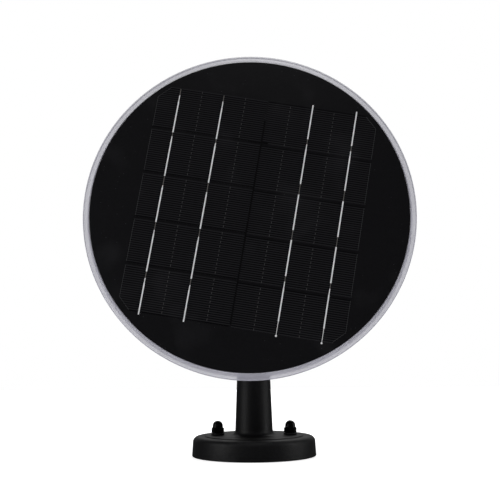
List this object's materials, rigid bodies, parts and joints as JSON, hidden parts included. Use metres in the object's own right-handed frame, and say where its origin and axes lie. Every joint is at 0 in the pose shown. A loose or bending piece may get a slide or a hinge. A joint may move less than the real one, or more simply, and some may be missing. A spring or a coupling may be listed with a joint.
{
  "type": "solar-powered security camera",
  "caption": "Round solar-panel security camera with a frosted ring light on its rim and a camera eye on its back, tilting and turning on a tapered cast post with a round wall plate.",
  "frame": {"origin": "middle of the wall plate's mounting face, where the wall bracket meets the wall", "axes": "+Z runs along the post away from the wall, the sunny side of the head faces -Y, +X is to its right"},
  "size_m": [0.2336, 0.1128, 0.2883],
  "materials": {
    "powder_coated_casting": "die-cast aluminium, fine-textured black powder coat",
    "black_nut": "glossy black electroplate",
    "zinc_steel": "zinc-plated steel",
    "stainless_steel": "turned stainless steel",
    "black_rubber": "matt silicone rubber",
    "black_plastic": "fine spark-textured moulding",
    "laminate_film": "pebbled clear film, satin",
    "silicon_cell": "monocrystalline silicon with printed silver fingers",
    "laminate_backing": "black glass-fibre back sheet",
    "frosted_light_ring": "frosted clear polycarbonate",
    "circuit_board": "solder-masked glass-epoxy board",
    "battery_cell": "shrink-sleeved steel can",
    "speaker_metal": "pressed steel",
    "sensor_lens": "milky moulded polyethylene",
    "camera_glass": "polished clear window"
  },
  "bodies": {
    "root": {"stem_base_casting": "powder_coated_casting", "wall_bracket": "zinc_steel", "bracket_stud_left": "zinc_steel", "bracket_stud_right": "zinc_steel", "nut_seal_left": "black_rubber", "nut_seal_right": "black_rubber", "cap_nut_left": "black_nut", "cap_nut_right": "black_nut", "wall_gasket": "black_rubber", "tilt_bolt": "stainless_steel", "friction_washer_left": "stainless_steel", "friction_washer_right": "stainless_steel"},
    "lock_knob": {"tilt_lock_knob": "black_plastic"},
    "knuckle": {"tilt_knuckle": "powder_coated_casting", "hub_wave_washer": "stainless_steel", "hub_retaining_plate": "stainless_steel", "hub_screw": "stainless_steel"},
    "head": {"panel_film": "laminate_film", "solar_cell_1": "silicon_cell", "solar_cell_2": "silicon_cell", "solar_cell_3": "silicon_cell", "solar_cell_4": "silicon_cell", "solar_cell_5": "silicon_cell", "solar_cell_6": "silicon_cell", "solar_cell_7": "silicon_cell", "solar_cell_8": "silicon_cell", "solar_cell_9": "silicon_cell", "solar_cell_10": "silicon_cell", "panel_backing": "laminate_backing", "panel_tape": "black_rubber", "light_ring": "frosted_light_ring", "chassis_plate": "black_plastic", "led_ring_board": "circuit_board", "ring_gasket": "black_rubber", "rear_housing": "powder_coated_casting", "hub_seal": "black_rubber", "housing_screw_1": "stainless_steel", "housing_screw_2": "stainless_steel", "housing_screw_3": "stainless_steel", "housing_screw_4": "stainless_steel", "housing_screw_5": "stainless_steel", "housing_screw_6": "stainless_steel", "battery_tray": "black_plastic", "battery_1": "battery_cell", "battery_2": "battery_cell", "battery_3": "battery_cell", "main_board": "circuit_board", "control_board": "circuit_board", "speaker": "speaker_metal", "motion_sensor": "speaker_metal", "motion_lens": "sensor_lens", "status_light_pipe": "sensor_lens", "camera_bezel": "black_plastic"},
    "camera_eye": {"camera_ball": "black_plastic", "camera_window": "camera_glass", "lens_barrel": "black_plastic", "infrared_ring": "circuit_board", "image_sensor_board": "circuit_board"},
    "power_button": {"power_button": "black_rubber"},
    "port_flap": {"port_flap": "black_rubber"}
  },
  "joints": [
    {"name": "head_tilt", "type": "hinge", "parent": "root", "child": "knuckle", "pos_m": [-0.0013, 0, 0.1655], "axis": [1, 0, 0], "range_deg": [-81, 12]},
    {"name": "tilt_lock_turn", "type": "hinge", "parent": "root", "child": "lock_knob", "pos_m": [0.015, 0, 0.1655], "axis": [1, 0, 0], "continuous": true},
    {"name": "head_turn", "type": "hinge", "parent": "knuckle", "child": "head", "pos_m": [-0.0013, -0.04938, 0.17332], "axis": [0, -0.9877, 0.1564], "range_deg": [-90, 90]},
    {"name": "eye_tilt", "type": "hinge", "parent": "head", "child": "camera_eye", "pos_m": [0.00813, -0.01112, 0.22315], "axis": [0.9857, -0.0264, -0.1664], "range_deg": [-20, 20]},
    {"name": "button_press", "type": "slide", "parent": "head", "child": "power_button", "axis": [0, -0.9877, 0.1564], "range_m": [0, 0.0008], "stiffness_N_per_m": 1500, "springref_m": -0.0006},
    {"name": "flap_swing", "type": "hinge", "parent": "head", "child": "port_flap", "pos_m": [-0.05588, -0.01255, 0.20775], "axis": [0.1685, 0.1542, 0.9736], "range_deg": [0, 110]}
  ]
}
